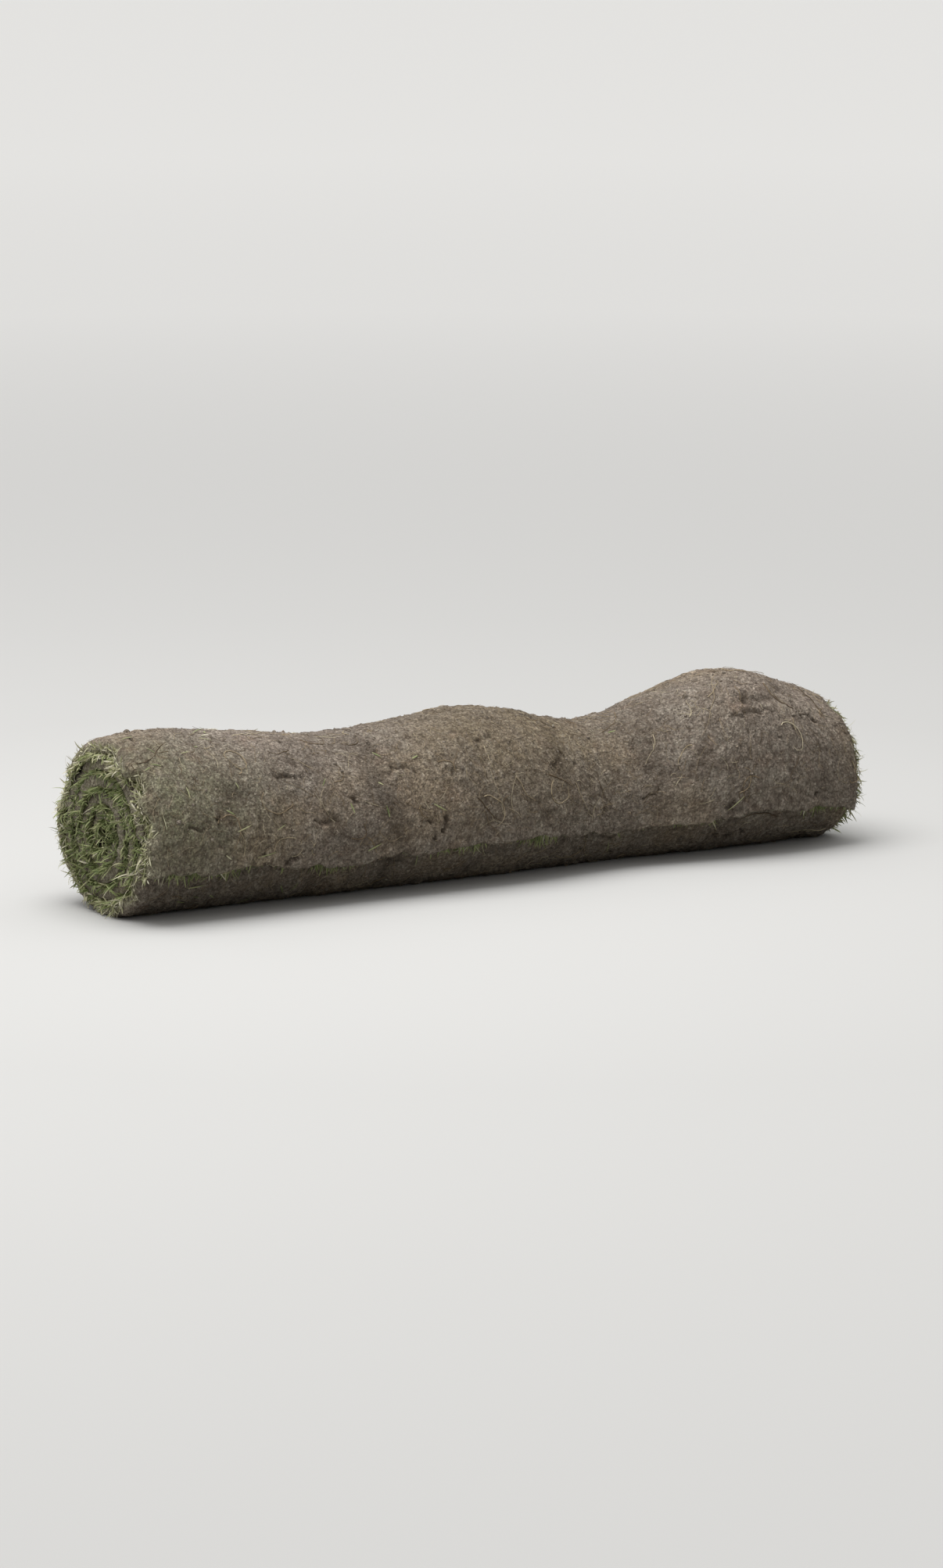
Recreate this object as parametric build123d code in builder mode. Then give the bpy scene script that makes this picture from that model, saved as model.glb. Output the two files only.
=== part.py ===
from build123d import *
import os
from math import ceil, cos, pi, radians, sin, sqrt, tau

os.makedirs("parts", exist_ok=True)

# A strip of cut lawn rolled up with its soil outside, lying on its side. Sizes are in millimetres.
# X runs along the roll, with its looser end at -X. -Y is the front, where the strip's tail ends, and Z is up.

# The strip as it is cut
strip_width = 762
strip_length = 1220
soil_thickness = 10.5
grass_thickness = 3.25

# How it is rolled
eye_radius = 9
tail_angle = -22
loose_end_rounding = 7
far_end_rounding = 16
end_gap_depth = 13
end_gap_margin = 0.5

# The worn edge of an end: how much smaller the roll is there, as a share of its rounding, and how fast that fades
edge_wear = 0.64
edge_fade = 2.3

# How it settles under its own weight on a level floor
sag = 0.015
floor_squash = 3

# Where the roll is thickest and thinnest, from the loose end on: the share of its length, its girth against an
# even roll's, and how far its middle wanders to the back. Both change smoothly from each place to the next. The
# last place lies past the far end, where the roll is still getting thinner.
swellings = [
    (0, 1.09, 0),
    (0.06, 1.12, 0),
    (0.32, 1.005, -4),
    (0.49, 1.07, 1),
    (0.66, 0.91, 5),
    (0.85, 1.14, 2),
    (1.05, 0.88, 0),
]

# Steps from station to station: of the outside, of a worn edge and of the eye
outside_steps = 35
edge_steps = 4
eye_steps = 9

# Points on a curve for each turn of the roll, and how far a cut runs past an edge: in turns, and along X
outline_points = 20
spiral_points = 12
run_past = 0.02
run_past_end = 1

pitch = soil_thickness + grass_thickness
mean_radius = sqrt(eye_radius**2 + strip_length * pitch / pi)
tail_radius = mean_radius + pitch / 2
turns = (mean_radius - eye_radius) / pitch
near_x = -strip_width / 2
far_x = strip_width / 2


def direction(turn):
    """The way out from the middle, so many turns in from the tail: from the front over the top to the back."""
    angle = radians(tail_angle) + tau * turn
    return -cos(angle) * (1 + sag), sin(angle) * (1 - sag)


def reach(turn, girth):
    """How far the strip's soil side is from the middle, so many turns in from the tail."""
    return (tail_radius - pitch * turn) * girth


def outer_turn_at(bearing):
    """Where the outer turn passes a bearing: 0 is the front, 90 the top, 180 the back and 270 the bottom."""
    return (bearing - tail_angle) / 360


def middle(girth):
    """The middle of the roll's section, which stands level over X and presses a little into the floor."""
    front = reach(outer_turn_at(0), girth) * (1 + sag)
    back = reach(outer_turn_at(180), girth) * (1 + sag)
    bottom = reach(outer_turn_at(270), girth) * (1 - sag)
    return (front - back) / 2, bottom - floor_squash


def spiral(from_turn, to_turn, girth, inset, points_a_turn):
    """Points along the strip's soil side, or along a line that lies inset from it."""
    steps = ceil((to_turn - from_turn) * points_a_turn)
    middle_y, middle_z = middle(girth)
    points = []
    for step in range(steps + 1):
        turn = from_turn + (to_turn - from_turn) * step / steps
        y, z = direction(turn)
        distance = reach(turn, girth) - inset
        points.append((middle_y + y * distance, middle_z + z * distance))
    return points


def across(x, wander=0):
    """The plane across the roll at x, with the roll's Y and Z as its own X and Y."""
    return Plane(origin=(x, wander, 0), x_dir=(0, 1, 0), z_dir=(1, 0, 0))


def curve(points):
    """A smooth curve through points that lie evenly along it, so that the curves of all stations match."""
    last = len(points) - 1
    return Edge.make_spline(points, parameters=[step / last for step in range(last + 1)])


def turn_outline(points):
    """One turn of the spiral, closed by a cut edge of the strip."""
    return [curve(points), Edge.make_line(points[-1], points[0])]


def gap_outline(outer, inner):
    """The gap between two lines along the strip."""
    return [
        curve(outer),
        Edge.make_line(outer[-1], inner[-1]),
        curve(inner),
        Edge.make_line(inner[0], outer[0]),
    ]


def evenly(start, end, steps):
    """Places from start to end, with as many even steps between."""
    return [start + (end - start) * step / steps for step in range(steps + 1)]


def swelling_at(x):
    """The roll's girth and wander at x."""
    share = min(max((x - near_x) / strip_width, 0), 1)
    for (start, girth, wander), (end, next_girth, next_wander) in zip(swellings, swellings[1:]):
        if share <= end:
            ease = (1 - cos(pi * (share - start) / (end - start))) / 2
            return girth + (next_girth - girth) * ease, wander + (next_wander - wander) * ease


def worn_edge(end_x, inward, rounding):
    """Stations of a worn edge, from the end in: the place, and how much smaller the outline is there."""
    found = []
    for share in evenly(0, 1, edge_steps):
        found.append((end_x + inward * rounding * share, rounding * edge_wear * (1 - share) ** edge_fade))
    return found


loose_edge = worn_edge(near_x, 1, loose_end_rounding)
far_edge = worn_edge(far_x, -1, far_end_rounding)
middle_places = evenly(near_x + loose_end_rounding, far_x - far_end_rounding, outside_steps)[1:-1]
stations = [*loose_edge, *[(x, 0) for x in middle_places], *reversed(far_edge)]


with BuildPart() as roll:
    # The outside: the outer turn at each station, closed by the cut edge of the tail
    for x, inset in stations:
        girth, wander = swelling_at(x)
        with BuildSketch(across(x, wander)):
            make_face(turn_outline(spiral(0, 1, girth, inset, outline_points)))
    loft(ruled=True)

    # The eye: what the last turn leaves open, closed by the cut edge of the strip's other end
    for x in evenly(near_x - run_past_end, far_x + run_past_end, eye_steps):
        girth, wander = swelling_at(x)
        with BuildSketch(across(x, wander)):
            make_face(turn_outline(spiral(turns, turns + 1, girth, 0, spiral_points)))
    loft(ruled=True, mode=Mode.SUBTRACT)

    # The turns, which show at both ends as a spiral gap where the grass lies between two layers of soil
    for end_x, inward in ((near_x, 1), (far_x, -1)):
        girth, wander = swelling_at(end_x)
        outer = spiral(-run_past, turns + run_past, girth, soil_thickness * girth, spiral_points)
        over_next_turn = (pitch - end_gap_margin) * girth
        inner = spiral(run_past, turns - 1 + run_past, girth, over_next_turn, spiral_points)
        for x in sorted((end_x - inward * run_past_end, end_x + inward * end_gap_depth)):
            with BuildSketch(across(x, wander)):
                make_face(gap_outline(outer, inner))
        loft(ruled=True, mode=Mode.SUBTRACT)

    # The flat that the roll's own weight presses along its underside
    Box(
        strip_width + 2 * run_past_end,
        4 * tail_radius,
        tail_radius,
        align=(Align.CENTER, Align.CENTER, Align.MAX),
        mode=Mode.SUBTRACT,
    )

roll.part.label = "turf_roll"
export_step(roll.part, "parts/turf_roll.step")
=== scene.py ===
from math import ceil, cos, pi, radians, sin, sqrt, tau

import bmesh
import bpy
import numpy as np
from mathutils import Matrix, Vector


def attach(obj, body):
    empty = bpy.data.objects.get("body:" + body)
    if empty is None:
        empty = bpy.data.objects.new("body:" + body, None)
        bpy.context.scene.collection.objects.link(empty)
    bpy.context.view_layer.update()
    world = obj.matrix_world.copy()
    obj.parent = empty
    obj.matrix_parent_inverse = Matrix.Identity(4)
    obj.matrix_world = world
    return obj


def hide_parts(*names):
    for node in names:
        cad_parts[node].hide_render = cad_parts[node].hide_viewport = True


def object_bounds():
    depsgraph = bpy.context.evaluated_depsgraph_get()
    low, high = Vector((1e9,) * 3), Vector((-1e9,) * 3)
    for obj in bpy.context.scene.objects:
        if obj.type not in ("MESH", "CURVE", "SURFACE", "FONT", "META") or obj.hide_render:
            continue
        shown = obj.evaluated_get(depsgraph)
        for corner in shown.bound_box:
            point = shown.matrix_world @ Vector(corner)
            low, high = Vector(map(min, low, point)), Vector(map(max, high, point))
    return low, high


# A roll of turf, soil side out. The CAD solid gives the form, and the meshes here give the torn soil, the
# grass that shows between the turns, the roots and the crumbs. Sizes are in metres, in the frame of the CAD
# part: X along the roll, its looser end at -X, -Y the front and Z up.

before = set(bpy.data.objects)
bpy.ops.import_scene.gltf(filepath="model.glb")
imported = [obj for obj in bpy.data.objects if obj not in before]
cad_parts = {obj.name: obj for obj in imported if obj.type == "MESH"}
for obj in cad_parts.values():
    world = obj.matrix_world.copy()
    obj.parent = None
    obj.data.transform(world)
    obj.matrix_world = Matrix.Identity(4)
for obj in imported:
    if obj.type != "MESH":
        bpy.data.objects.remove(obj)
cad_low, cad_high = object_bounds()
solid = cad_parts["turf_roll"]

# The strip and how it is rolled, as in the CAD part
SOIL = 0.0105
GRASS = 0.00325
EYE = 0.009
STRIP_LENGTH = 1.22
TAIL_ANGLE = radians(-22)
SAG = 0.015
SQUASH = 0.003

PITCH = SOIL + GRASS
MEAN = sqrt(EYE**2 + STRIP_LENGTH * PITCH / pi)
TAIL = MEAN + PITCH / 2
TURNS = (MEAN - EYE) / PITCH
NEAR_X = cad_low.x
FAR_X = cad_high.x
WIDTH = FAR_X - NEAR_X

# The camera: the photograph's direction, with a long lens
AZIMUTH = radians(-32)
ELEVATION = radians(10)
DISTANCE = 6.65
SENSOR = 36
FRAME_WIDTH = 1206
FRAME_HEIGHT = 2006
SHARE_OF_WIDTH = 0.88


# Noise

MIXED = np.random.default_rng(11).permutation(256)


def hashed(i, j, seed):
    """A whole number from 0 to 255 for each lattice point."""
    return MIXED[(MIXED[(i + seed * 37) & 255] + j + seed * 101) & 255]


def eased(share):
    """A share from 0 to 1, made to start and end level."""
    return share * share * share * (share * (share * 6 - 15) + 10)


def noise(x, y, seed):
    """Smooth gradient noise, about -1 to 1, one bump a unit. The seed picks the pattern."""
    x, y = np.broadcast_arrays(np.asarray(x, float), np.asarray(y, float))
    i, j = np.floor(x).astype(int), np.floor(y).astype(int)
    fx, fy = x - i, y - j
    ux, uy = eased(fx), eased(fy)

    def corner(di, dj):
        angle = hashed(i + di, j + dj, seed) * (tau / 256)
        return np.cos(angle) * (fx - di) + np.sin(angle) * (fy - dj)

    low = corner(0, 0) + ux * (corner(1, 0) - corner(0, 0))
    high = corner(0, 1) + ux * (corner(1, 1) - corner(0, 1))
    return 1.5 * (low + uy * (high - low))


def layered(x, y, octaves, seed, gain=0.5):
    """Noise with finer noise on it."""
    total, size = 0.0, 1.0
    for octave in range(octaves):
        total = total + size * noise(x * 2**octave, y * 2**octave, seed + octave)
        size *= gain
    return total


def cells(x, y, seed):
    """For each point, the distance to its nearest seed point, and a number from 0 to 1 for that one."""
    x, y = np.broadcast_arrays(np.asarray(x, float), np.asarray(y, float))
    i, j = np.floor(x).astype(int), np.floor(y).astype(int)
    nearest = np.full(x.shape, 9.0)
    which = np.zeros(x.shape)
    for di in (-1, 0, 1):
        for dj in (-1, 0, 1):
            ci, cj = i + di, j + dj
            px = ci + hashed(ci, cj, seed) / 256
            py = cj + hashed(ci, cj, seed + 5) / 256
            gap = np.hypot(px - x, py - y)
            closer = gap < nearest
            which = np.where(closer, hashed(ci, cj, seed + 9) / 255, which)
            nearest = np.where(closer, gap, nearest)
    return nearest, which


def smooth(start, end, value):
    """0 at the start and beyond it, 1 at the end and beyond it, and a smooth step between, up or down."""
    t = np.clip((value - start) / (end - start), 0, 1)
    return t * t * (3 - 2 * t)


# The form of the roll, read from the CAD solid


def reach(turn):
    """How far the soil side of an even roll is from its middle."""
    return TAIL - PITCH * turn


def outer_turn_at(bearing):
    """Where the outer turn passes a bearing in degrees: 0 is the front, 90 the top, 270 the bottom."""
    return (radians(bearing) - TAIL_ANGLE) / tau


FRONT = reach(outer_turn_at(0)) * (1 + SAG)
TOP = reach(outer_turn_at(90)) * (1 - SAG)
BACK = reach(outer_turn_at(180)) * (1 + SAG)
BOTTOM = reach(outer_turn_at(270)) * (1 - SAG)


def cast(origin, direction):
    """Where a ray meets the CAD solid."""
    found, place, _, _ = solid.ray_cast(Vector(origin), Vector(direction))
    if not found:
        raise RuntimeError("a ray misses the CAD solid")
    return place


# Where the roll is measured: how far in from its worn ends, at how many stations, and the Y of its top
NEAR_WEAR = 0.0075
FAR_WEAR = 0.0165
STATION_COUNT = 70
TOP_Y = 0.003


def measure_roll():
    """Stations along the roll, its girth there against an even roll's, and its wander to the back."""
    xs = np.linspace(NEAR_X + NEAR_WEAR, FAR_X - FAR_WEAR, STATION_COUNT)
    girths, wanders = [], []
    for x in xs:
        top = cast((x, TOP_Y, 1), (0, 0, -1)).z
        girth = (top + SQUASH) / (TOP + BOTTOM)
        level = BOTTOM * girth - SQUASH
        front = cast((x, -1, level), (0, 1, 0)).y
        back = cast((x, 1, level), (0, -1, 0)).y
        girths.append(girth)
        wanders.append((front + back) / 2)

    def carried_on(values):
        """The values, with one more at each end of the roll, on the line through the last three."""
        first, last = np.polyfit(xs[:3], values[:3], 1), np.polyfit(xs[-3:], values[-3:], 1)
        return np.concatenate([[np.polyval(first, NEAR_X)], values, [np.polyval(last, FAR_X)]])

    return carried_on(xs), carried_on(girths), carried_on(wanders)


STATIONS, GIRTHS, WANDERS = measure_roll()


def roll_up(x, turn, depth):
    """Places points of the strip: x along the roll, turns in from the tail, and depth into the soil."""
    girth = np.interp(x, STATIONS, GIRTHS)
    wander = np.interp(x, STATIONS, WANDERS)
    angle = TAIL_ANGLE + tau * turn
    radius = (reach(turn) - depth) * girth
    y = wander + (FRONT - BACK) / 2 * girth - np.cos(angle) * (1 + SAG) * radius
    z = BOTTOM * girth - SQUASH + np.sin(angle) * (1 - SAG) * radius
    return np.stack([np.broadcast_to(x, y.shape), y, np.maximum(z, 0.0)], axis=-1)


def along_strip(turn):
    """Metres along the strip, from the tail."""
    return tau * (TAIL * turn - PITCH * turn**2 / 2)


def turn_at(length):
    """The turn that lies so many metres along the strip."""
    return (TAIL - np.sqrt(TAIL**2 - PITCH * np.asarray(length) / pi)) / PITCH


# The relief and the patches of the soil, in strip coordinates: x across the cut and s along it


def strip_place(share, bearing):
    """The x and s of a place on the outer turn, from its share of the length and its bearing in degrees."""
    return NEAR_X + WIDTH * share, along_strip(outer_turn_at(bearing))


# Tan, pale and grey patches: the place, the half width and half height in metres, the colour, and the least
# and the most of it that shows
PATCHES = (
    (strip_place(0.52, 52), (0.14, 0.08), (140, 126, 101), 0.4, 0.85),
    (strip_place(0.9, 72), (0.09, 0.06), (172, 158, 144), 0.4, 0.8),
    (strip_place(0.2, 80), (0.14, 0.06), (168, 156, 144), 0.3, 0.8),
)

# Where the loose end is stained green: the place, and the half width and half height in metres
GREEN_PLACE = strip_place(0.0, 22)
GREEN_SIZE = (0.14, 0.085)

# Soft dents: the place, the half width and half height, and the depth, in metres
DENTS = (
    (*strip_place(0.125, 25), 0.014, 0.008, 0.0024),
    (*strip_place(0.86, 50), 0.020, 0.006, 0.0016),
    (*strip_place(0.90, 63), 0.010, 0.010, 0.0014),
)

# Creases that run round the roll: the share of its length, how wide, and how deep, in metres
CREASES = (
    (0.105, 0.006, 0.0006),
    (0.245, 0.009, 0.0008),
    (0.328, 0.011, 0.0017),
    (0.455, 0.008, 0.0007),
    (0.575, 0.008, 0.0009),
    (0.705, 0.010, 0.0010),
    (0.935, 0.007, 0.0009),
)

# How deep pits and cracks are, how deep a crease is that takes its full painted shade, how far apart the
# lines are that cracks may follow, and from how low to how high the fine relief goes
PIT_DEPTH = 0.0022
CRACK_DEPTH = 0.0018
DEEP_CREASE = 0.0016
CRACK_SPACING = 0.041
FINE_RANGE = 0.0032


def crease_relief(x, s):
    """The creases' height, below 0, and how far each point is in one, from 0 to 1."""
    height, inside = 0.0, 0.0
    for share, width, depth in CREASES:
        middle = NEAR_X + WIDTH * share
        middle = middle + 0.012 * noise(s / 0.09, share * 50, 23) + 0.003 * noise(s / 0.02, share * 70, 24)
        strength = smooth(-0.35, 0.45, noise(s / 0.12, share * 90, 25))
        near_crease = np.exp(-(((x - middle) / width) ** 2)) * strength
        height = height - depth * near_crease
        inside = np.maximum(inside, near_crease * depth / DEEP_CREASE)
    return height, inside


def dent_relief(x, s):
    """The dents' height, below 0, and how far each point is in one, from 0 to 1."""
    height, inside = 0.0, 0.0
    warp = 0.35 * layered(x / 0.02, s / 0.02, 2, 27)
    for middle_x, middle_s, half_x, half_s, depth in DENTS:
        near_dent = np.exp(-(((x - middle_x) / half_x + warp) ** 2) - ((s - middle_s) / half_s - warp) ** 2)
        height = height - depth * near_dent
        inside = np.maximum(inside, near_dent)
    return height, inside


def fine_relief(x, s):
    """The height of the cutter's streaks, of clods, and of rubble, coarser where the soil is torn."""
    bend_x = x + 0.006 * noise(x / 0.05, s / 0.07, 31)
    streaks = 0.00035 * noise(bend_x / 0.008, s / 0.11, 41) + 0.00025 * noise(bend_x / 0.0035, s / 0.05, 42)
    nearest, which = cells(x / 0.011 + 0.4 * noise(x / 0.009, s / 0.009, 51), s / 0.012, 52)
    clods = 0.0020 * (0.5 - nearest) * smooth(0.45, 0.9, which)
    rubble = 0.0010 * layered(x / 0.0085, s / 0.0095, 3, 61, 0.6)
    torn_area = smooth(-0.1, 0.5, noise(x / 0.06, s / 0.05, 63))
    return streaks + clods + rubble * (0.55 + 0.8 * torn_area)


def pits_at(x, s):
    """How far each point is in a pit, from 0 to 1. About every other cell has a pit, of its own size."""
    cell_x = x / 0.062 + 0.35 * layered(x / 0.03, s / 0.03, 2, 70)
    cell_s = s / 0.05 + 0.3 * layered(x / 0.026, s / 0.03, 2, 75)
    nearest, which = cells(cell_x, cell_s, 71)
    ragged = nearest + 0.11 * layered(x / 0.007, s / 0.007, 3, 73, 0.65)
    size = 0.05 + 0.13 * ((which * 7.3) % 1) ** 2
    return smooth(size, size * 0.2, ragged) * smooth(0.50, 0.54, which)


def cracks_at(x, s):
    """How far each point is in a crack, from 0 to 1. Cracks open in places on wavy lines along the roll."""
    line = s + 0.009 * noise(x / 0.03, s / 0.2, 81) + 0.004 * layered(x / 0.009, s / 0.05, 2, 82)
    gap = np.abs((line / CRACK_SPACING + 0.5) % 1 - 0.5) * CRACK_SPACING
    openness = smooth(0.42, 0.8, noise(x / 0.045, s / 0.055, 83))
    return smooth(0.0026 * openness + 0.0008, 0.0002, gap) * smooth(0.0, 0.3, openness)


def relief(x, s):
    """How far the soil stands out from its even surface, how deep in a pit, crack, crease or dent each point
    is, from 0 to 1, for painted shade there, and how high it is among the clods, from 0 to 1, for painted
    shade low and painted light high."""
    lumps = 0.0012 * layered(x / 0.07, s / 0.09, 2, 3)
    swells = 0.0007 * noise(x / 0.027, s / 0.04, 21)
    creases, in_crease = crease_relief(x, s)
    dents, in_dent = dent_relief(x, s)
    fine = fine_relief(x, s)
    pits, cracks = pits_at(x, s), cracks_at(x, s)
    height = lumps + swells + creases + dents + fine - PIT_DEPTH * pits - CRACK_DEPTH * cracks
    # How much painted shade each point takes in a pit, crack, crease or dent
    hollow_shade = np.maximum(np.maximum(0.8 * pits, 0.8 * cracks), np.maximum(0.5 * in_crease, 0.55 * in_dent))
    return height, hollow_shade, 0.5 + fine / FINE_RANGE


# Meshes


def add_mesh(name, points, faces, material, slot, **values):
    """A piece from arrays of points and of faces, all with 3 or all with 4 corners. Values become attributes
    of the points: strip is a vector, and the others are numbers."""
    points = np.asarray(points, np.float32).reshape(-1, 3)
    faces = np.asarray(faces, np.int32)
    count, corners = faces.shape
    mesh = bpy.data.meshes.new(name)
    mesh.vertices.add(len(points))
    mesh.vertices.foreach_set("co", points.ravel())
    mesh.loops.add(faces.size)
    mesh.loops.foreach_set("vertex_index", faces.ravel())
    mesh.polygons.add(count)
    mesh.polygons.foreach_set("loop_start", np.arange(count, dtype=np.int32) * corners)
    mesh.polygons.foreach_set("use_smooth", np.ones(count, bool))
    mesh.update(calc_edges=True)
    mesh.validate()
    for key, value in values.items():
        kind, field = ("FLOAT_VECTOR", "vector") if key == "strip" else ("FLOAT", "value")
        layer = mesh.attributes.new(key, kind, "POINT")
        layer.data.foreach_set(field, np.asarray(value, np.float32).ravel())
    piece = bpy.data.objects.new(name, mesh)
    bpy.context.scene.collection.objects.link(piece)
    mesh.materials.append(material)
    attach(piece, "root")
    return piece


def grid_faces(rows, columns):
    """Faces of a grid of points, given row by row."""
    index = np.arange(rows * columns).reshape(rows, columns)
    corners = [index[:-1, :-1], index[:-1, 1:], index[1:, 1:], index[1:, :-1]]
    return np.stack(corners, axis=-1).reshape(-1, 4)


# Materials

# A Mix node's sockets for two colours, and for their mix
MIX_INPUTS = (6, 7)
MIX_OUTPUT = 2


class Nodes:
    """A short way to write the nodes of a material, or of another block that has them."""

    def __init__(self, name, blocks=bpy.data.materials, shader="Principled BSDF"):
        self.block = blocks.new(name)
        self.block.use_nodes = True
        self.tree = self.block.node_tree
        self.shader = self.tree.nodes[shader]

    def add(self, kind, inputs, **settings):
        """A node. Its inputs are plain values, or outputs of other nodes, which are linked."""
        node = self.tree.nodes.new(kind)
        for key, value in settings.items():
            setattr(node, key, value)
        for key, value in inputs.items():
            if isinstance(value, bpy.types.NodeSocket):
                self.tree.links.new(value, node.inputs[key])
            else:
                node.inputs[key].default_value = value
        return node

    def attribute(self, name, output="Fac"):
        return self.add("ShaderNodeAttribute", {}, attribute_name=name).outputs[output]

    def noise(self, vector, scale, detail, roughness):
        inputs = {"Vector": vector, "Scale": scale, "Detail": detail, "Roughness": roughness}
        return self.add("ShaderNodeTexNoise", inputs).outputs["Fac"]

    def voronoi(self, vector, scale):
        return self.add("ShaderNodeTexVoronoi", {"Vector": vector, "Scale": scale}).outputs

    def mapped(self, vector, scale, location=(0, 0, 0)):
        inputs = {"Vector": vector, "Scale": scale, "Location": location}
        return self.add("ShaderNodeMapping", inputs).outputs["Vector"]

    def length(self, vector):
        return self.add("ShaderNodeVectorMath", {0: vector}, operation="LENGTH").outputs["Value"]

    def patch(self, vector, centre, size):
        """1 in the middle of an oval of the strip, given in x and s, fading to 0 a little past its edge."""
        scale = (1 / size[0], 1 / size[1], 0)
        location = (-centre[0] / size[0], -centre[1] / size[1], 0)
        return self.range(self.length(self.mapped(vector, scale, location)), 1.2, 0.3)

    def maths(self, operation, one, other):
        return self.add("ShaderNodeMath", {0: one, 1: other}, operation=operation).outputs["Value"]

    def times(self, one, other):
        return self.maths("MULTIPLY", one, other)

    def ramp(self, value, *stops):
        node = self.add("ShaderNodeValToRGB", {"Fac": value})
        elements = node.color_ramp.elements
        while len(elements) < len(stops):
            elements.new(0.5)
        for element, (place, colour) in zip(elements, stops):
            element.position = place
            element.color = (*colour, 1)
        return node.outputs["Color"]

    def range(self, value, low, high, to_low=0.0, to_high=1.0):
        """The value, moved from between low and high to between to_low and to_high, and held there."""
        inputs = {"Value": value, "From Min": low, "From Max": high, "To Min": to_low, "To Max": to_high}
        return self.add("ShaderNodeMapRange", inputs).outputs["Result"]

    def mix(self, factor, one, other, blend="MIX"):
        """The first colour, or the second where the factor is 1. A colour is a node's output or a tuple."""
        node = self.add("ShaderNodeMix", {"Factor": factor}, data_type="RGBA", blend_type=blend)
        for socket, colour in zip(MIX_INPUTS, (one, other)):
            if isinstance(colour, tuple):
                node.inputs[socket].default_value = (*colour, 1)
            else:
                self.tree.links.new(colour, node.inputs[socket])
        return node.outputs[MIX_OUTPUT]

    def bump(self, height, strength, distance, normal=None):
        inputs = {"Height": height, "Strength": strength, "Distance": distance}
        if normal:
            inputs["Normal"] = normal
        return self.add("ShaderNodeBump", inputs).outputs["Normal"]

    def seen(self):
        """1 for what the camera sees, also in a reflection or through glass, and 0 for the light it gives."""
        path = self.add("ShaderNodeLightPath", {}).outputs
        seen = self.maths("MAXIMUM", path["Is Camera Ray"], path["Is Glossy Ray"])
        return self.maths("MAXIMUM", seen, path["Is Transmission Ray"])

    def link(self, output, name):
        """Links a node's output to a socket of the shader."""
        self.tree.links.new(output, self.shader.inputs[name])

    def finish(self, colour, roughness, specular, normal=None):
        """Puts a colour, and what is the same all over, on the shader. Gives the finished material."""
        self.link(colour, "Base Color")
        if normal:
            self.link(normal, "Normal")
        self.shader.inputs["Roughness"].default_value = roughness
        self.shader.inputs["Specular IOR Level"].default_value = specular
        return self.block


def linear(red, green, blue):
    """A colour as a shader takes it, from the 0 to 255 of a picture."""
    shares = (red / 255, green / 255, blue / 255)
    return tuple(c / 12.92 if c < 0.04045 else ((c + 0.055) / 1.055) ** 2.4 for c in shares)


def make_soil():
    m = Nodes("soil")
    strip = m.attribute("strip", "Vector")
    rise = m.attribute("rise")
    patches = m.noise(strip, 14, 5, 0.62)
    blotches = m.noise(strip, 48, 5, 0.7)
    grain = m.noise(strip, 210, 6, 0.78)
    fine = m.noise(strip, 800, 4, 0.75)
    streaks = m.noise(m.mapped(strip, (1, 0.14, 1)), 130, 4, 0.6)
    crumbs = m.voronoi(strip, 300)
    grit = m.voronoi(strip, 620)

    # Blotches, larger patches and stains
    colour = m.ramp(
        blotches,
        (0.28, linear(110, 99, 87)),
        (0.45, linear(138, 127, 115)),
        (0.6, linear(158, 148, 135)),
        (0.78, linear(175, 166, 152)),
    )
    colour = m.mix(m.range(patches, 0.47, 0.64, 0.0, 0.6), colour, linear(114, 103, 91))
    warm = m.range(m.noise(strip, 9, 3, 0.5), 0.5, 0.66, 0.0, 0.55)
    colour = m.mix(warm, colour, linear(167, 148, 122))
    for place, size, tone, least, most in PATCHES:
        strength = m.times(m.patch(strip, place, size), m.range(patches, 0.62, 0.42, least, most))
        colour = m.mix(strength, colour, linear(*tone))
    green = m.times(m.patch(strip, GREEN_PLACE, GREEN_SIZE), m.range(blotches, 0.35, 0.62, 0.35, 0.8))
    colour = m.mix(green, colour, linear(130, 131, 100))
    rusty = m.range(m.noise(strip, 34, 3, 0.5), 0.6, 0.74, 0.0, 0.35)
    colour = m.mix(rusty, colour, linear(146, 118, 100))
    colour = m.mix(m.range(streaks, 0.52, 0.7, 0.0, 0.3), colour, linear(177, 168, 154))

    # The cut edges, painted shade in the low places and painted light on the high ones, and then the grains,
    # dark and light
    colour = m.mix(m.attribute("cut"), colour, linear(160, 156, 132))
    colour = m.mix(m.range(rise, 0.42, 0.05, 0.0, 0.6), colour, linear(89, 77, 66))
    colour = m.mix(m.range(rise, 0.6, 1.0, 0.0, 0.45), colour, linear(184, 174, 159))
    colour = m.mix(m.range(grain, 0.47, 0.34, 0.0, 0.75), colour, linear(87, 75, 65))
    colour = m.mix(m.range(grain, 0.55, 0.7, 0.0, 0.55), colour, linear(188, 180, 165))
    colour = m.mix(m.range(crumbs["Distance"], 0.45, 0.75, 0.0, 0.45), colour, linear(89, 76, 65))
    colour = m.mix(m.range(grit["Color"], 0.44, 0.1), colour, (0.7, 0.69, 0.68), "MULTIPLY")
    colour = m.mix(m.range(grit["Color"], 0.52, 0.9), colour, (1.6, 1.6, 1.6), "MULTIPLY")
    colour = m.mix(m.range(fine, 0.48, 0.36, 0.0, 0.5), colour, linear(83, 71, 60))
    colour = m.mix(m.range(fine, 0.64, 0.74, 0.0, 0.8), colour, linear(203, 195, 178))
    # Painted shade in the pits, cracks, creases and dents
    colour = m.mix(m.attribute("hollow_shade"), colour, linear(69, 59, 49))

    normal = m.bump(grain, 1.0, 0.0026)
    normal = m.bump(m.range(crumbs["Distance"], 0.0, 0.7, 1.0, 0.0), 0.6, 0.0012, normal)
    normal = m.bump(m.range(grit["Distance"], 0.0, 0.7, 1.0, 0.0), 0.8, 0.0009, normal)
    normal = m.bump(fine, 0.9, 0.0008, normal)
    return m.finish(colour, roughness=0.95, specular=0.2, normal=normal)


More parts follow.
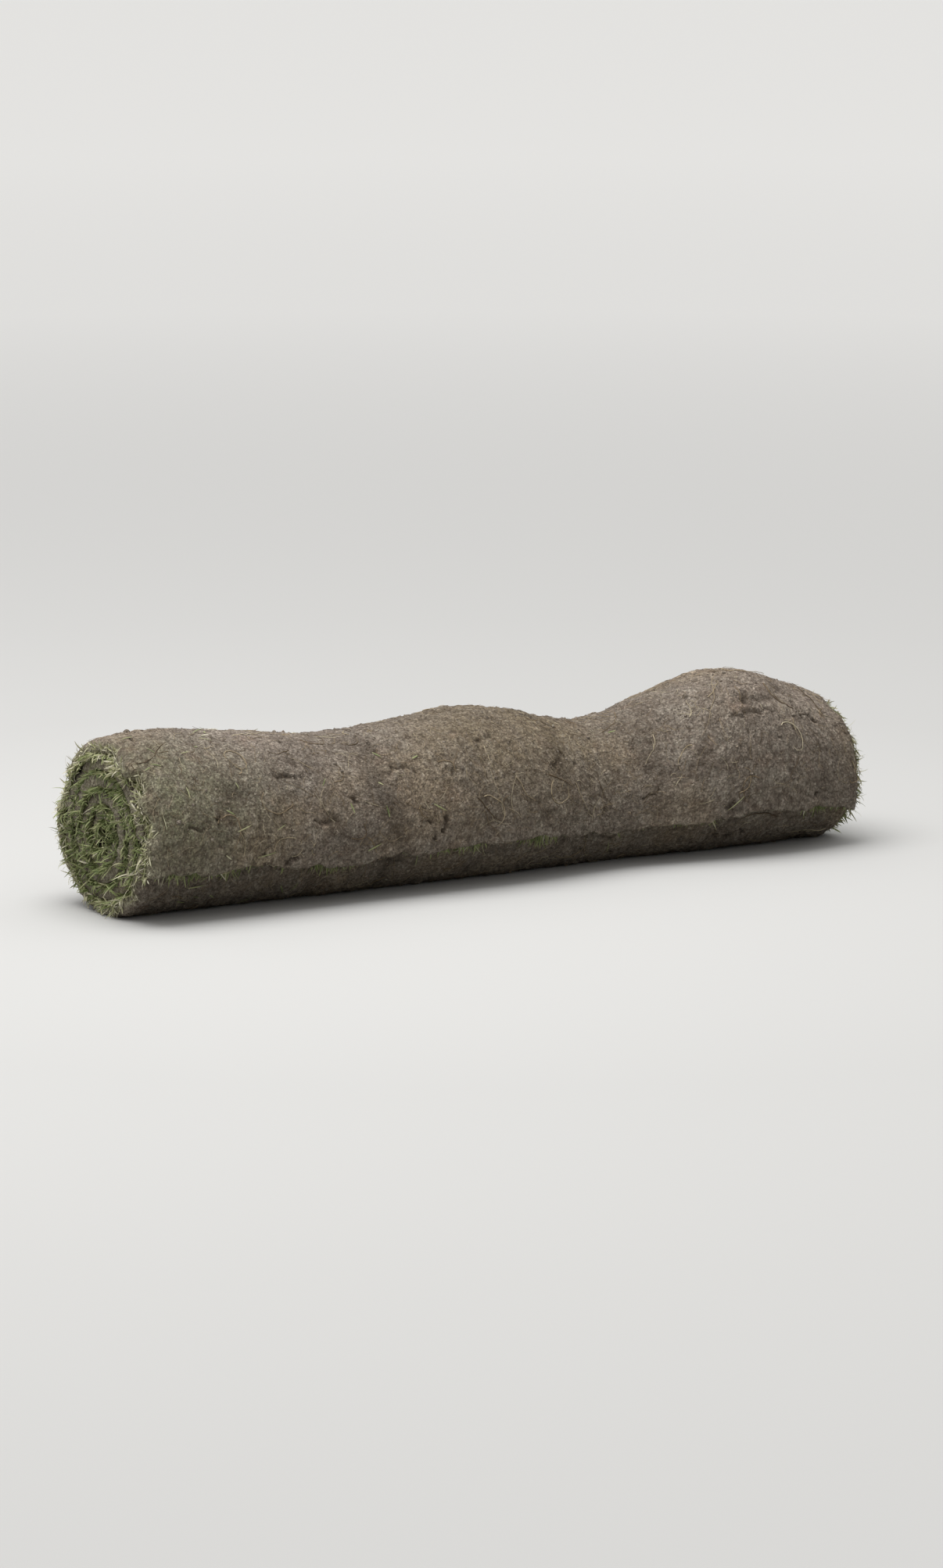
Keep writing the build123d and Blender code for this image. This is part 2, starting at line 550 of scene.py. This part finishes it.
def make_grass():
    """Each blade has its tint. It is pale at its foot and dry at its tip."""
    m = Nodes("grass")
    along = m.attribute("along")
    colour = m.ramp(
        m.attribute("tint"),
        (0.0, linear(92, 103, 62)),
        (0.3, linear(130, 141, 90)),
        (0.55, linear(158, 164, 116)),
        (0.75, linear(178, 176, 136)),
        (0.88, linear(202, 197, 168)),
        (1.0, linear(216, 210, 188)),
    )
    colour = m.mix(m.range(along, 0.0, 0.4, 0.65, 0.0), colour, linear(170, 166, 132))
    colour = m.mix(m.range(along, 0.82, 1.0, 0.0, 0.5), colour, linear(178, 168, 126))
    return m.finish(colour, roughness=0.62, specular=0.3)


def make_thatch():
    m = Nodes("thatch")
    fibre = m.noise(m.mapped(m.attribute("strip", "Vector"), (1, 0.4, 1)), 700, 4, 0.7)
    colour = m.ramp(
        fibre,
        (0.3, linear(62, 66, 38)),
        (0.5, linear(104, 106, 68)),
        (0.7, linear(146, 142, 100)),
    )
    return m.finish(colour, roughness=0.9, specular=0.2, normal=m.bump(fibre, 1.0, 0.001))


def make_roots():
    m = Nodes("roots")
    colour = m.ramp(
        m.attribute("tint"),
        (0.0, linear(92, 76, 58)),
        (0.4, linear(146, 128, 102)),
        (0.75, linear(178, 162, 134)),
        (1.0, linear(206, 194, 166)),
    )
    return m.finish(colour, roughness=0.8, specular=0.25)


soil_material = make_soil()
grass_material = make_grass()
thatch_material = make_thatch()
root_material = make_roots()


# The ends

# How far in from an end its ragged cut edge still shifts the mesh
EDGE_FADE = 0.03


class End:
    """One end of the roll: its place, which way is out, its worn edge, how far its turns lie back, how deep
    the pieces are that are torn out of them, and the larger tears: bearing, half width, how much deeper."""

    def __init__(self, x, outward, seed, edge_drop, edge_length, set_back, bites, tears):
        self.x = x
        self.outward = outward
        self.seed = seed
        self.edge_drop = edge_drop
        self.edge_length = edge_length
        self.set_back = set_back
        self.bites = bites
        self.tears = []
        for bearing, width, deeper in tears:
            self.tears.append((along_strip(outer_turn_at(bearing)), width, deeper))

    def recess(self, turn):
        """How far the strip's cut edge lies in from the CAD end, in metres."""
        s = along_strip(turn)
        back = self.set_back + 0.0028 * noise(s / 0.09, 0.5, self.seed)
        back = back + 0.0014 * noise(s / 0.02, 3.5, self.seed + 1)
        back = back + 0.0009 * noise(s / 0.006, 7.5, self.seed + 2)
        back = back + self.bites * smooth(0.35, 0.75, noise(s / 0.032, 11.5, self.seed + 3))
        for middle, width, deeper in self.tears:
            back = back + deeper * smooth(width, width * 0.45, np.abs(s - middle))
        return np.maximum(back, 0.0002)

    def drop(self, inward):
        """How much thinner the outer turn is near its worn edge."""
        return self.edge_drop * np.clip(1 - inward / self.edge_length, 0, 1) ** 2.2

    def shift(self, inward, turn):
        """How far the cut edge's recess moves a point that lies inward from it."""
        return self.recess(turn) * np.exp(-np.asarray(inward) / EDGE_FADE)

    def place(self, inward, turn):
        """The x of a point that lies inward from the strip's cut edge."""
        return self.x - self.outward * (inward + self.shift(inward, turn))


near = End(
    x=NEAR_X,
    outward=-1,
    seed=101,
    edge_drop=0.0044,
    edge_length=0.009,
    set_back=0.0046,
    bites=0.0055,
    tears=[(58, 0.016, -0.0046), (41, 0.013, 0.0085), (79, 0.012, 0.004)],
)
far = End(
    x=FAR_X,
    outward=1,
    seed=201,
    edge_drop=0.0088,
    edge_length=0.018,
    set_back=0.0050,
    bites=0.0045,
    tears=[(62, 0.02, 0.006)],
)


def worn(x):
    """How much thinner the outer turn is at x, where one of the worn edges is near."""
    return near.drop(x - NEAR_X) + far.drop(FAR_X - x)


# The soil and the pressed grass

# The size of a face of soil, how far each mesh of soil goes in along its grass side, the radius of a cut
# edge's corners, how far in its soil side is level, and how many turns in the outer turn begins
STEP = 0.0021
INSIDE = 0.02
CORNER = 0.0016
LEVEL = 0.012
UNDER_TAIL = 1.03


def edge_profile(end, step):
    """The inward and depth of points from the grass side, over the cut edge, to the level soil side."""
    top = end.drop(0.0)
    bottom = SOIL - CORNER * 0.7
    points = [(inward, SOIL) for inward in np.arange(INSIDE, CORNER, -step * 1.6)]
    points += [(CORNER * 0.45, SOIL - CORNER * 0.12), (0.0, bottom)]
    points += [(0.0, depth) for depth in np.arange(bottom - step, top + CORNER * 0.8, -step)]
    points.append((CORNER * 0.3, top + CORNER * 0.3))
    inward = CORNER
    while inward < max(end.edge_length, LEVEL):
        points.append((inward, end.drop(inward)))
        inward += step * 1.25
    return np.array(points).T


def strip_coordinates(x, s, depth):
    """What the materials of soil and pressed grass take their patterns from."""
    return np.stack(np.broadcast_arrays(x, s, depth), axis=-1)


def add_soil(name, points, faces, strip, hollow_shade, rise, cut):
    """A piece of soil, with what its material needs to know of each point."""
    values = {"strip": strip, "hollow_shade": hollow_shade, "rise": rise, "cut": cut}
    return add_mesh(name, points, faces, soil_material, "soil", **values)


def torn(x, turn, depth, inward, top):
    """Rolls up points of the soil with its relief, which fades from the soil side to the grass side, and with
    a crumbly cut face. Also gives the strip coordinates, how much painted shade each point takes in the pits,
    cracks, creases and dents, how high among the clods it lies, for painted shade low and painted light high,
    and how far it is cut face. The soil side lies at the depth that top gives."""
    x, turn, depth, inward = np.broadcast_arrays(x, turn, depth, inward)
    s = along_strip(turn)
    height, hollow_shade, rise = relief(x, s)
    share = np.clip((SOIL - depth) / (SOIL - top), 0, 1)
    cut = smooth(0.003, 0.0, inward) * smooth(0.0, 0.0015, depth)
    near_edge = smooth(0.012, 0.001, inward)
    crumbs = 0.0011 * layered(s / 0.008, x / 0.006 + depth / 0.005, 3, 91, 0.6)
    points = roll_up(x, turn, depth - height * share - crumbs * near_edge * share)
    points[..., 0] += cut * 0.0010 * layered(s / 0.006, depth / 0.0045, 3, 95, 0.6)
    return points, strip_coordinates(x, s, depth), hollow_shade * share, 0.5 + (rise - 0.5) * share, cut


def outer_turn():
    """The outer turn of soil, from under the tail round to the tail's edge, with the edges of both ends."""
    # Rows: round the roll to the lip of the tail, down its cut edge, and back in along its grass side
    under_tail = along_strip(UNDER_TAIL)
    rows = ceil(under_tail / STEP)
    lengths = [*np.linspace(under_tail, 0.0, rows)[:-1], 0.001]
    row_depths = [0.0] * rows
    for share in (0.12, 0.3, 0.5, 0.7, 0.9):
        lengths.append(0.0)
        row_depths.append(SOIL * share)
    for back in (0.0015, 0.004, 0.007, 0.011, 0.016):
        lengths.append(back)
        row_depths.append(SOIL)
    turns = turn_at(lengths)[:, None]
    row_depths = np.array(row_depths)[:, None]

    # Columns: over the near end's edge, along the roll and over the far end's edge
    near_inward, near_depths = edge_profile(near, STEP)
    far_inward, far_depths = edge_profile(far, STEP)[:, ::-1]
    middle_from = NEAR_X + near_inward[-1] + STEP
    middle_to = FAR_X - far_inward[0] - STEP
    middle = np.linspace(middle_from, middle_to, ceil((middle_to - middle_from) / STEP))
    middle_xs = middle + near.shift(middle - NEAR_X, turns) - far.shift(FAR_X - middle, turns)
    xs = np.hstack([near.place(near_inward, turns), middle_xs, far.place(far_inward, turns)])
    no_edge = np.ones(len(middle))
    inward = np.concatenate([near_inward, no_edge, far_inward])
    column_depths = np.concatenate([near_depths, worn(middle), far_depths])
    tops = np.concatenate([near.drop(near_inward), worn(middle), far.drop(far_inward)])

    # The tail ends in a ragged line, and lifts a little off the turn below it
    ragged = 0.0055 * noise(xs / 0.05, 0.3, 301) + 0.0026 * layered(xs / 0.014, 0.7, 3, 302)
    shifted = turns + smooth(0.12, 0.0, turns) * (ragged + 0.003) / (tau * TAIL)
    lift = 0.0016 + 0.0012 * noise(xs / 0.07, 0.9, 303)
    depth = np.maximum(row_depths, column_depths) - lift * smooth(0.03, 0.0, turns)
    points, strip, hollow_shade, rise, cut = torn(xs, shifted, depth, inward, tops * 0.9)
    tail_cut = smooth(0.004, 0.0, turns) * smooth(0.0, 0.002, row_depths)
    points[..., 2] += tail_cut * 0.0007 * layered(xs / 0.006, depth / 0.004, 3, 305)
    cut = np.maximum(cut, tail_cut) * 0.85
    return add_soil("soil_outer_turn", points, grid_faces(*xs.shape), strip, hollow_shade, rise, cut)


def inner_turns(end, name):
    """The cut edges of the turns inside the outer one, as they show at an end."""
    inward, depth = edge_profile(end, STEP * 0.9)
    depth = np.where(depth < SOIL * 0.5, np.minimum(depth, end.edge_drop * 0.25), depth)
    turns = turn_at(np.arange(along_strip(UNDER_TAIL), along_strip(TURNS), STEP))[:, None]
    x = end.place(inward, turns)
    points, strip, hollow_shade, rise, cut = torn(x, turns, depth, inward, 0.0)
    add_soil(name, points, grid_faces(*x.shape), strip, hollow_shade, rise, cut * 0.6)


def thatch(end, name):
    """The pressed grass between the turns, a little in from their cut edges."""
    lengths = np.arange(0.002, along_strip(TURNS), 0.0025)[:, None]
    turns = turn_at(lengths)
    depth = np.linspace(SOIL - 0.001, PITCH + 0.001, 5)[None, :]
    inward = 0.0026 + 0.0014 * layered(lengths / 0.009, depth / 0.002, 2, end.seed + 7)
    x = end.place(inward, turns)
    strip = strip_coordinates(x, lengths, depth)
    add_mesh(name, roll_up(x, turns, depth), grid_faces(*x.shape), thatch_material, "grass", strip=strip)


def eye_lining():
    """The grass side of the last turn, all the way through the roll."""
    x = np.linspace(NEAR_X + 0.006, FAR_X - 0.006, 90)[None, :]
    turns = np.linspace(TURNS - 1, TURNS, 50)[:, None]
    s = along_strip(turns)
    depth = PITCH - 0.0004 + 0.0006 * noise(x / 0.01, s / 0.008, 401)
    strip = strip_coordinates(x, s, depth)
    faces = grid_faces(*depth.shape)
    add_mesh("eye_lining", roll_up(x, turns, depth), faces, thatch_material, "grass", strip=strip)


# Blades of grass

# How thin a blade gets at its tip, and how far it stays above the floor
THINNEST = 0.00012
ABOVE_FLOOR = 0.0006


def unit(vectors):
    return vectors / np.maximum(np.linalg.norm(vectors, axis=-1, keepdims=True), 1e-9)


def blades(name, roots, heading, bend, curl, length, width, tint, steps=5):
    """Curved, creased, tapering blades. Each turns from its heading towards bend by curl radians."""
    count = len(roots)
    heading = unit(heading)
    bend = unit(bend - heading * (bend * heading).sum(-1, keepdims=True))
    side = np.cross(heading, bend)
    t = np.linspace(0, 1, steps + 1)[None, :, None]
    curl = np.maximum(curl, 0.02)[:, None, None]
    arc_out = np.sin(curl * t) / curl
    arc_bend = (1 - np.cos(curl * t)) / curl
    arc = heading[:, None] * arc_out + bend[:, None] * arc_bend
    centre = roots[:, None] + length[:, None, None] * arc
    normal = bend[:, None] * np.cos(curl * t) - heading[:, None] * np.sin(curl * t)
    half = np.maximum(width[:, None, None] / 2 * (0.75 + 0.45 * t - 1.12 * t**3), THINNEST)
    edge = side[:, None] * half
    crease = normal * half * 0.45
    points = np.stack([centre - edge + crease, centre, centre + edge + crease], axis=2)
    points[..., 2] = np.maximum(points[..., 2], ABOVE_FLOOR)
    index = np.arange(count * (steps + 1) * 3).reshape(count, steps + 1, 3)
    corners = [index[:, :-1, :-1], index[:, :-1, 1:], index[:, 1:, 1:], index[:, 1:, :-1]]
    quads = np.stack(corners, axis=-1).reshape(-1, 4)
    along = np.broadcast_to(t, index.shape)
    tints = np.broadcast_to(tint[:, None, None], index.shape)
    add_mesh(name, points, quads, grass_material, "grass", along=along, tint=tints)


def directions_at(x, turn):
    """The way out from the roll's middle and the way round it, at points of the strip."""
    here = roll_up(x, turn, 0.0)
    out = unit(here - roll_up(x, turn, 0.004))
    around = unit(roll_up(x, turn + 0.01, 0.0) - here)
    return out, around


def surface(x, turn, above):
    """Points so far above the torn soil of the outer turn."""
    height, _, _ = relief(x, along_strip(turn))
    return roll_up(x, turn, worn(x) - height - above)


def end_grass(end, name, count, seed):
    """Blades that come out from between the turns at an end, drier towards its rim."""
    rng = np.random.default_rng(seed)
    turn = turn_at(rng.uniform(0.0, along_strip(TURNS), count))
    depth = SOIL + GRASS * rng.uniform(0.0, 1.0, count)
    x = end.place(rng.uniform(0.001, 0.005, count), turn)
    roots = roll_up(x, turn, depth)
    out, around = directions_at(x, turn)
    outward = np.array([end.outward, 0.0, 0.0])
    heading = outward * 0.75 + around * rng.normal(0, 0.9, (count, 1))
    heading = heading + out * rng.normal(0.0, 0.14, (count, 1))
    heading[:, 2] -= 0.05
    bend = around * rng.normal(0, 1.0, (count, 1)) + out * rng.normal(0.0, 0.35, (count, 1))
    bend[:, 2] -= 0.35
    curl = np.abs(rng.normal(1.3, 0.6, count))
    length = rng.gamma(5.0, 0.0014, count) + 0.0035
    width = rng.uniform(0.0011, 0.0022, count)
    rim = smooth(1.4, 0.3, turn)
    tint = np.clip(rng.normal(0.34, 0.22, count) + 0.36 * rim, 0, 1)
    blades(name, roots, heading, bend, curl, length, width, tint)


def rim_grass(end, name, count, seed):
    """Short dry blades, frayed out of the cut edge of the outer turn."""
    rng = np.random.default_rng(seed)
    turn = turn_at(rng.uniform(0.0, along_strip(1.0), count))
    depth = rng.uniform(end.edge_drop, SOIL, count)
    x = end.place(rng.uniform(0.0, 0.002, count), turn)
    roots = roll_up(x, turn, depth)
    out, around = directions_at(x, turn)
    outward = np.array([end.outward, 0.0, 0.0])
    heading = outward * 0.4 + around * rng.normal(0, 1.0, (count, 1))
    heading = heading + out * rng.normal(0.1, 0.5, (count, 1))
    bend = around * rng.normal(0, 1.0, (count, 1)) - outward * 0.5
    length = rng.gamma(4.0, 0.0011, count) + 0.0025
    tint = np.clip(rng.normal(0.86, 0.13, count), 0, 1)
    curl = np.abs(rng.normal(0.9, 0.5, count))
    width = rng.uniform(0.0008, 0.0017, count)
    blades(name, roots, heading, bend, curl, length, width, tint, 4)


def clippings(name, count, seed):
    """Loose blades that lie on the soil, most of them near the loose end."""
    rng = np.random.default_rng(seed)
    x = NEAR_X + 0.012 + np.minimum(rng.gamma(1.1, 0.12, count), WIDTH - 0.04)
    turn = turn_at(rng.uniform(0.01, along_strip(0.97), count))
    roots = surface(x, turn, 0.0007)
    out, around = directions_at(x, turn)
    along_roll = np.array([1.0, 0.0, 0.0])
    angle = rng.uniform(0, tau, (count, 1))
    heading = along_roll * np.cos(angle) + around * np.sin(angle) + out * 0.1
    length = rng.gamma(4.0, 0.0021, count) + 0.004
    tint = np.clip(rng.normal(0.5, 0.24, count), 0, 1)
    curl = rng.uniform(0.1, 0.5, count)
    width = rng.uniform(0.0008, 0.0016, count)
    blades(name, roots, heading, -out, curl, length, width, tint, 4)


def tail_grass(name, most, seed):
    """Blades that stick out from under the tail, at most so many, long in tufts and few between them."""
    rng = np.random.default_rng(seed)
    x = rng.uniform(NEAR_X + 0.006, FAR_X - 0.008, most)
    tufts = smooth(-0.15, 0.7, layered(x / 0.05, 0.5, 3, 78))
    kept = rng.uniform(0, 1, most) < 0.04 + 0.6 * tufts
    x, tufts = x[kept], tufts[kept]
    count = len(x)
    turn = rng.uniform(0.001, 0.012, count)
    roots = roll_up(x, turn, SOIL + GRASS * rng.uniform(-0.2, 0.8, count))
    out, around = directions_at(x, turn)
    heading = -around + out * rng.normal(0.1, 0.25, (count, 1))
    heading[:, 0] += rng.normal(0, 0.4, count)
    bend = -out * 0.6 + rng.normal(0, 0.6, (count, 3))
    bend[:, 2] -= 0.5
    curl = np.abs(rng.normal(0.8, 0.5, count))
    length = rng.uniform(0.004, 0.010, count) + 0.007 * tufts
    width = rng.uniform(0.001, 0.002, count)
    tint = np.clip(rng.normal(0.5, 0.25, count), 0, 1)
    blades(name, roots, heading, bend, curl, length, width, tint)


# Roots and crumbs


def threads(name, paths, radius, tint):
    """Thin three-sided tubes along paths, all in one mesh."""
    count, steps, _ = paths.shape
    tangent = unit(np.gradient(paths, axis=1))
    up = np.zeros_like(tangent)
    up[..., 2] = 1
    side = unit(np.cross(tangent, up) + 1e-6)
    other = np.cross(side, tangent)
    taper = np.linspace(1, 0.45, steps)[None, :, None]
    ring = []
    for corner in range(3):
        angle = tau * corner / 3
        ring.append(paths + radius[:, None, None] * taper * (side * cos(angle) + other * sin(angle)))
    index = np.arange(count * steps * 3).reshape(count, steps, 3)
    after = np.roll(index, -1, axis=2)
    quads = np.stack([index[:, :-1], after[:, :-1], after[:, 1:], index[:, 1:]], axis=-1).reshape(-1, 4)
    tints = np.broadcast_to(tint[:, None, None], index.shape)
    add_mesh(name, np.stack(ring, axis=2), quads, root_material, "roots", tint=tints)


def surface_roots(name, seed, count, steps, length, thinnest, thickest, bend):
    """Cut roots that lie on the soil, and lift off it towards one end."""
    rng = np.random.default_rng(seed)
    x = rng.uniform(NEAR_X + 0.012, FAR_X - 0.014, count)
    s = rng.uniform(0.006, along_strip(0.98), count)
    angle = rng.uniform(0, tau, count)
    length = rng.gamma(2.2, length / 2.2, count) + 0.004
    curve = rng.normal(0, bend, count)
    xs, ss = [x], [s]
    for _ in range(steps - 1):
        angle = angle + curve / steps + rng.normal(0, 0.22, count)
        xs.append(xs[-1] + np.cos(angle) * length / steps)
        ss.append(ss[-1] + np.sin(angle) * length / steps)
    xs = np.clip(np.stack(xs, axis=1), NEAR_X + 0.006, FAR_X - 0.006)
    ss = np.clip(np.stack(ss, axis=1), 0.003, along_strip(0.99))
    t = np.linspace(0, 1, steps)[None, :]
    above = thinnest + np.abs(rng.normal(0, 0.0009, (count, 1))) * t**2
    paths = surface(xs, turn_at(ss), above)
    paths[..., 2] = np.maximum(paths[..., 2], thickest * 1.1)
    radius = rng.uniform(thinnest, thickest, count)
    threads(name, paths, radius, rng.uniform(0, 1, count))


def loose_soil(name, seed, count, subdivisions, smallest, more, largest):
    """Crumbs that cling to the soil, a little sunk in it. The commonest size is the smallest plus more."""
    rng = np.random.default_rng(seed)
    ball = bmesh.new()
    bmesh.ops.create_icosphere(ball, subdivisions=subdivisions, radius=1)
    corners = np.array([v.co for v in ball.verts])
    faces = np.array([[v.index for v in face.verts] for face in ball.faces])
    ball.free()
    x = rng.uniform(NEAR_X + 0.026, FAR_X - 0.024, count)
    s = rng.uniform(0.004, along_strip(0.985), count)
    size = np.minimum(rng.gamma(2.0, more, count) + smallest, largest)
    seats = surface(x, turn_at(s), size * -0.25)
    each = np.arange(count)[:, None]
    shape = 1 + 0.35 * layered(corners[:, 0] * 1.3 + each * 3.7, corners[:, 1] * 1.3 + corners[:, 2], 2, 16)
    stretch = rng.uniform(0.6, 1.25, (count, 1, 3))
    offsets = corners[None] * shape[..., None] * stretch * size[:, None, None]
    points = seats[:, None] + offsets
    points[..., 2] = np.maximum(points[..., 2], 0.0003)
    strip = strip_coordinates(x, s, 0.0)[:, None] + offsets + rng.uniform(0, 0.4, (count, 1, 3))
    faces = (faces[None] + each[..., None] * len(corners)).reshape(-1, 3)
    # The crumbs stand high, so they take painted light, each at a strength of its own
    rise = np.broadcast_to(rng.uniform(0.55, 1.0, (count, 1)), shape.shape)
    flat = np.zeros(shape.shape)
    add_soil(name, points, faces, strip, flat, rise, flat)


outer = outer_turn()
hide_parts("turf_roll")
for end, name in ((near, "loose_end"), (far, "far_end")):
    inner_turns(end, "soil_turns_" + name)
    thatch(end, "thatch_" + name)
    end_grass(end, "grass_" + name, count=2500, seed=end.seed)
    rim_grass(end, "dry_rim_" + name, count=900, seed=end.seed + 9)
eye_lining()
tail_grass("grass_under_tail", most=2600, seed=77)
surface_roots(
    "roots_on_soil",
    seed=5,
    count=2200,
    steps=7,
    length=0.011,
    thinnest=0.00012,
    thickest=0.0003,
    bend=1.1,
)
surface_roots(
    "thick_roots_on_soil",
    seed=6,
    count=170,
    steps=13,
    length=0.028,
    thinnest=0.0003,
    thickest=0.0007,
    bend=2.2,
)
loose_soil(
    "crumbs_on_soil",
    seed=15,
    count=1500,
    subdivisions=2,
    smallest=0.0004,
    more=0.00034,
    largest=0.0027,
)
loose_soil(
    "grit_on_soil",
    seed=17,
    count=6500,
    subdivisions=1,
    smallest=0.00045,
    more=0.00014,
    largest=0.0012,
)
clippings("clippings_on_soil", count=110, seed=88)


# Floor, light and camera


def add_floor():
    """A floor that is seen as pale as far as it goes, also beyond the lamps, and gives back less light."""
    m = Nodes("floor")
    away = m.length(m.add("ShaderNodeNewGeometry", {}).outputs["Position"])
    pale = m.mix(m.range(away, 0.9, 4.5), (0.60, 0.595, 0.58), (0.92, 0.912, 0.89))
    glow = m.times(m.seen(), m.range(away, 1.5, 7.0))
    m.link(m.range(glow, 0, 1, 0, 0.14), "Emission Strength")
    m.shader.inputs["Emission Color"].default_value = (1, 0.99, 0.965, 1)
    m.finish(m.mix(m.seen(), (0.36, 0.36, 0.34), pale), roughness=0.9, specular=0.1)
    half = 60
    corners = [(-half, -half, 0), (half, -half, 0), (half, half, 0), (-half, half, 0)]
    mesh = bpy.data.meshes.new("floor")
    mesh.from_pydata(corners, [], [(0, 1, 2, 3)])
    mesh.materials.append(m.block)
    floor = bpy.data.objects.new("floor", mesh)
    bpy.context.scene.collection.objects.link(floor)
    return floor


def turned(direction):
    """The rotation of a lamp or camera that looks in a direction."""
    return direction.to_track_quat("-Z", "Y").to_euler()


def add_lamp(name, place, aim, size, power):
    light = bpy.data.lights.new(name, "AREA")
    light.shape = "DISK"
    light.size = size
    light.energy = power
    lamp = bpy.data.objects.new(name, light)
    lamp.location = place
    lamp.rotation_euler = turned(Vector(aim) - Vector(place))
    bpy.context.scene.collection.objects.link(lamp)
    return lamp


def keep_off(lamp, thing):
    """Takes a lamp's light off one thing, so that it lights only the others."""
    excluded = bpy.data.collections.new("not lit by " + lamp.name)
    excluded.objects.link(thing)
    excluded.collection_objects[0].light_linking.link_state = "EXCLUDE"
    lamp.light_linking.receiver_collection = excluded


def add_world(strength, horizon, backdrop):
    """An overcast sky, bright overhead and dimmer towards the horizon, which is seen as a pale backdrop."""
    m = Nodes("studio", bpy.data.worlds, "Background")
    place = m.add("ShaderNodeTexCoord", {}).outputs["Generated"]
    up = m.add("ShaderNodeSeparateXYZ", {"Vector": place}).outputs["Z"]
    sky = m.ramp(up, (0.1, (horizon, horizon, horizon)), (0.85, (1, 1, 1)))
    m.link(m.mix(m.seen(), sky, backdrop), "Color")
    m.link(m.range(m.seen(), 0, 1, strength, 1), "Strength")
    bpy.context.scene.world = m.block


def add_camera():
    """The camera looks at the middle of the CAD box, which fills its share of the picture's width."""
    back = Vector((sin(AZIMUTH) * cos(ELEVATION), -cos(AZIMUTH) * cos(ELEVATION), sin(ELEVATION)))
    data = bpy.data.cameras.new("camera")
    camera = bpy.data.objects.new("camera", data)
    camera.location = (cad_low + cad_high) / 2 + back * DISTANCE
    camera.rotation_euler = turned(-back)
    seen_width = (WIDTH * cos(AZIMUTH) + (cad_high.y - cad_low.y) * abs(sin(AZIMUTH))) / SHARE_OF_WIDTH
    data.sensor_width = SENSOR
    data.lens = SENSOR * DISTANCE / (seen_width * FRAME_HEIGHT / FRAME_WIDTH)
    data.clip_end = 200
    bpy.context.scene.collection.objects.link(camera)
    bpy.context.scene.camera = camera


floor = add_floor()
add_lamp("sky", place=(-0.5, 0.05, 2.25), aim=(0, 0, 0.05), size=2.2, power=45)
fill = add_lamp("fill", place=(-2.4, -0.5, 0.9), aim=(-0.3, 0, 0.08), size=1.6, power=9)
# The fill is so close to the floor that it would leave a white place on it
keep_off(fill, floor)
add_world(strength=0.9, horizon=0.12, backdrop=(0.75, 0.743, 0.725))
add_camera()

bpy.context.scene.view_settings.view_transform = "Standard"
